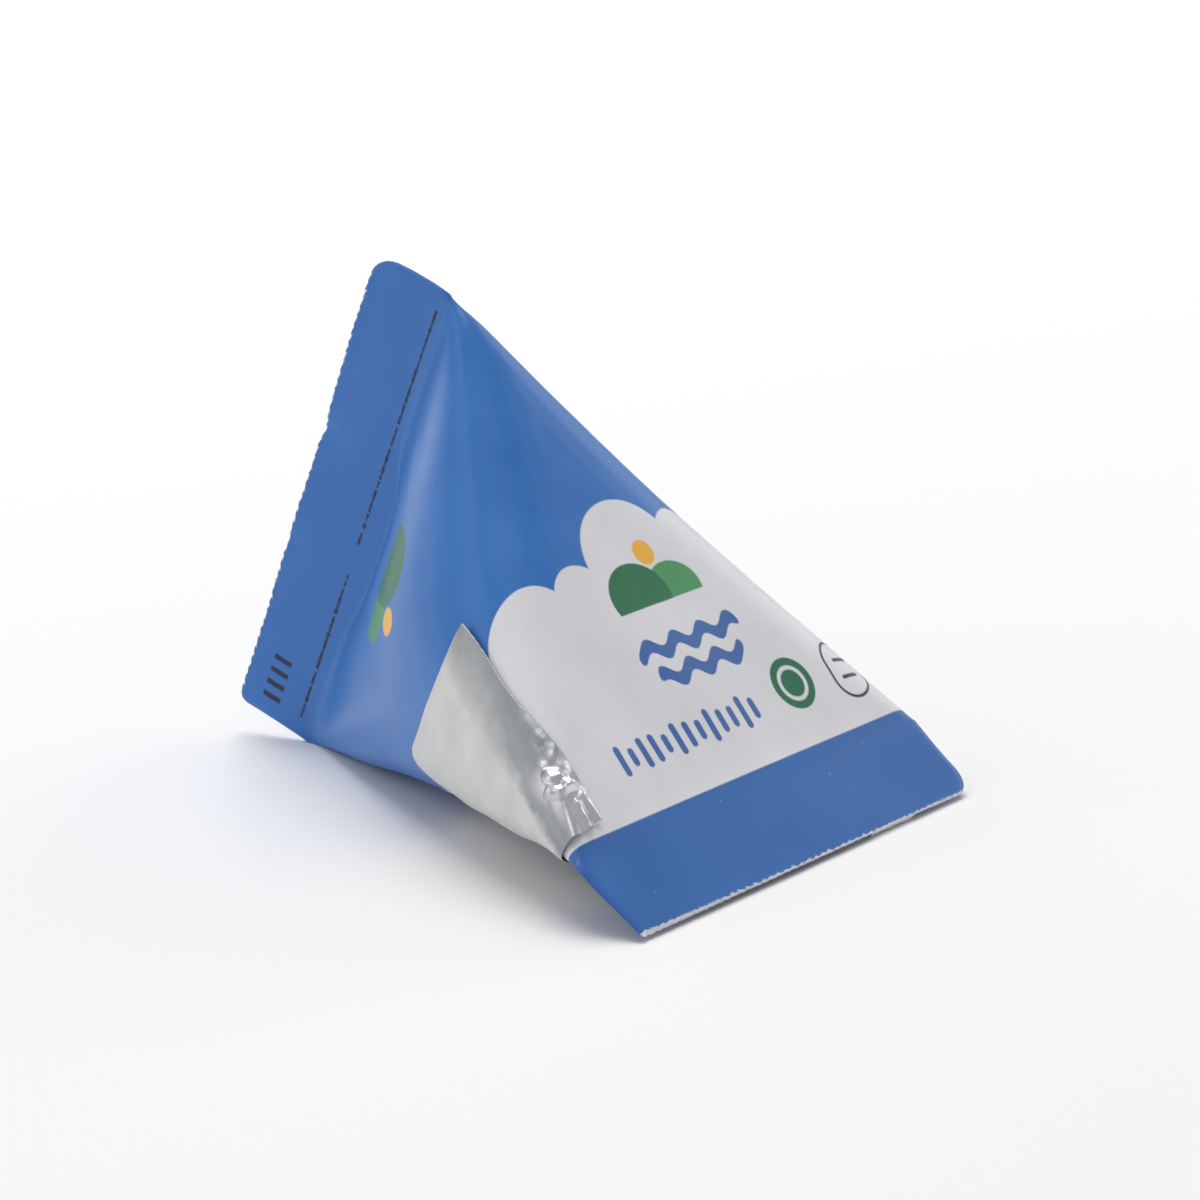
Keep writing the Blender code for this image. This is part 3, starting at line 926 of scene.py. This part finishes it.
class MILKPACK_OT_tab(Operator):
    """Lay the foil pull tab over the near edge of the pack"""

    bl_idname = "milkpack.tab"
    bl_label = "Pull Tab"

    def execute(self, context):
        form, tab = context.scene.milk_pack_form, context.scene.milk_pack_tab
        across = np.linspace(-tab.width / 2, tab.width / 2, TAB_COLUMNS + 1)
        along = np.linspace(0.0, 1.0, TAB_ROWS + 1)
        across, along = np.meshgrid(across, along, indexing="ij")
        share = 0.5 + across / tab.width
        over = np.maximum(across - (tab.width / 2 - tab.corner_radius), 0.0)
        rounding = tab.corner_radius - np.sqrt(np.maximum(tab.corner_radius**2 - over**2, 0.0))
        start = tab.free_end - 0.16 * across + 0.65 * MM * (1 - (2 * share - 1) ** 2) + rounding
        end = tab.fixed_end + 0.5 * MM * np.sin(np.pi * share)
        t = start + (end - start) * along
        early, late = smooth_step(along / 0.45), smooth_step((along - 0.7) / 0.3)
        narrowing = tab.narrowing * (0.62 * early + 0.38 * late)
        s = tab.middle + across + narrowing * (1 - share)
        points = paper_points(form, s, t)
        ridge_s = FOLD_ROUND * MM + FOLD_SLANT * (t - FOLD_ALONG * MM)
        crest = 0.25 * MM + 1.3 * MM * smooth_step((39 * MM - t) / (11 * MM))
        ridge = np.maximum(1 - np.hypot(s - ridge_s, crest) / (3.6 * MM), 0.0) * smooth_step(along / 0.25)
        tip = bump(s, t, tab.middle - tab.width / 2, tab.free_end, 3.5 * MM, 6.0 * MM)
        off = 0.05 * MM + tab.lift * tip + tab.ridge * ridge
        off = off + tab.crush * MM * crushed_foil(s / MM, t / MM)
        off = off + 0.04 * MM * (1 + waves(s, t, 21, 8, 20 * MM, 4))
        off = off + 0.5 * MM * bump(s, t, tab.middle + tab.width / 2, 43 * MM, 3.5 * MM, 5 * MM)
        bonded = smooth_step((share - 0.45) / 0.2) * smooth_step((along - 0.94) / 0.06)
        off = off * (1 - bonded) - 0.05 * MM * bonded + sheet_relief(form, s, t)
        points = set_down(form, points + grid_normals(points) * off[..., None])
        shape = bmesh.new()
        bmesh.ops.create_grid(shape, x_segments=TAB_COLUMNS, y_segments=TAB_ROWS, size=0.5)
        place_by_grid(shape, TAB_COLUMNS, TAB_ROWS, points, sheet_uv(s, t))
        piece = add_piece("foil_tab", shape, [tab_foil(context.scene.milk_pack_colours)], 35)
        thick = piece.modifiers.new("foil thickness", "SOLIDIFY")
        thick.thickness = tab.thickness
        thick.offset = 1.0
        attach(piece, "root")
        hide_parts("pull_tab")
        return {"FINISHED"}


# Radius of the round floor, and place and size of each light, in metres
FLOOR_RADIUS = 4.0
LIGHTS = (
    ("top", (-0.3, 0.25, 1.1), (0.9, 0.9)),
    ("fill", (-0.6, -0.9, 0.55), (1.0, 1.0)),
    ("side", (-0.95, 0.35, 0.1), (0.6, 0.16)),
    ("back", (0.15, 1.0, 0.38), (0.7, 0.5)),
)


def area_light(name, place, aim, size, watts):
    data = bpy.data.lights.new(name, "AREA")
    data.shape = "RECTANGLE"
    data.size, data.size_y = size
    data.energy = watts
    light = bpy.data.objects.new(name, data)
    light.location = place
    light.rotation_euler = (Vector(aim) - Vector(place)).to_track_quat("-Z", "Y").to_euler()
    bpy.context.scene.collection.objects.link(light)


class MILKPACK_OT_stage(Operator):
    """Set up the pale floor, the soft lights and the camera"""

    bl_idname = "milkpack.stage"
    bl_label = "Studio"

    def execute(self, context):
        look = context.scene.milk_pack_studio
        shape = bmesh.new()
        bmesh.ops.create_circle(shape, cap_ends=True, segments=96, radius=FLOOR_RADIUS)
        floor = add_piece("floor", shape, [floor_paint(look)])
        world = bpy.data.worlds.new("studio sky")
        world.use_nodes = True
        world.node_tree.nodes["Background"].inputs["Color"].default_value = (1.0, 1.0, 1.0, 1.0)
        world.node_tree.nodes["Background"].inputs["Strength"].default_value = look.sky
        context.scene.world = world
        context.scene.view_settings.view_transform = "Standard"
        for name, place, size in LIGHTS:
            area_light(f"{name} light", place, look.aim, size, getattr(look, name))
        turn = Matrix.Rotation(look.azimuth, 3, "Z") @ Matrix.Rotation(-look.elevation, 3, "X")
        back = turn @ Vector((0, -1, 0))
        data = bpy.data.cameras.new("camera")
        data.lens = look.lens
        data.sensor_width = 36
        data.clip_start = 0.01
        camera = bpy.data.objects.new("camera", data)
        camera.location = Vector(look.aim) + back * look.distance
        upright = (-back).to_track_quat("-Z", "Y").to_matrix()
        camera.rotation_euler = (upright @ Matrix.Rotation(look.roll, 3, "Z")).to_euler()
        context.scene.collection.objects.link(camera)
        context.scene.camera = camera
        return {"FINISHED"}


class MILKPACK_PT_sidebar(Panel):
    """Lists the pack's pieces and their sizes"""

    bl_label = "Milk Pack"
    bl_idname = "MILKPACK_PT_sidebar"
    bl_space_type = "VIEW_3D"
    bl_region_type = "UI"
    bl_category = "Milk Pack"

    def draw(self, context):
        scene = context.scene
        for operator, group in (
            (MILKPACK_OT_paper, scene.milk_pack_form),
            (MILKPACK_OT_tab, scene.milk_pack_tab),
            (MILKPACK_OT_stage, scene.milk_pack_studio),
        ):
            box = self.layout.box()
            box.operator(operator.bl_idname)
            for key in group.__annotations__:
                box.prop(group, key)
        colours = self.layout.box()
        for key in scene.milk_pack_colours.__annotations__:
            colours.prop(scene.milk_pack_colours, key)


CLASSES = (
    PackForm,
    TabForm,
    PackColours,
    StudioLook,
    MILKPACK_OT_paper,
    MILKPACK_OT_tab,
    MILKPACK_OT_stage,
    MILKPACK_PT_sidebar,
)


def register():
    for each in CLASSES:
        bpy.utils.register_class(each)
    bpy.types.Scene.milk_pack_form = PointerProperty(type=PackForm)
    bpy.types.Scene.milk_pack_tab = PointerProperty(type=TabForm)
    bpy.types.Scene.milk_pack_colours = PointerProperty(type=PackColours)
    bpy.types.Scene.milk_pack_studio = PointerProperty(type=StudioLook)


def unregister():
    del bpy.types.Scene.milk_pack_studio
    del bpy.types.Scene.milk_pack_colours
    del bpy.types.Scene.milk_pack_tab
    del bpy.types.Scene.milk_pack_form
    for each in reversed(CLASSES):
        bpy.utils.unregister_class(each)


def main():
    register()
    bpy.ops.milkpack.paper()
    bpy.ops.milkpack.tab()
    bpy.ops.milkpack.stage()


if __name__ == "__main__":
    main()
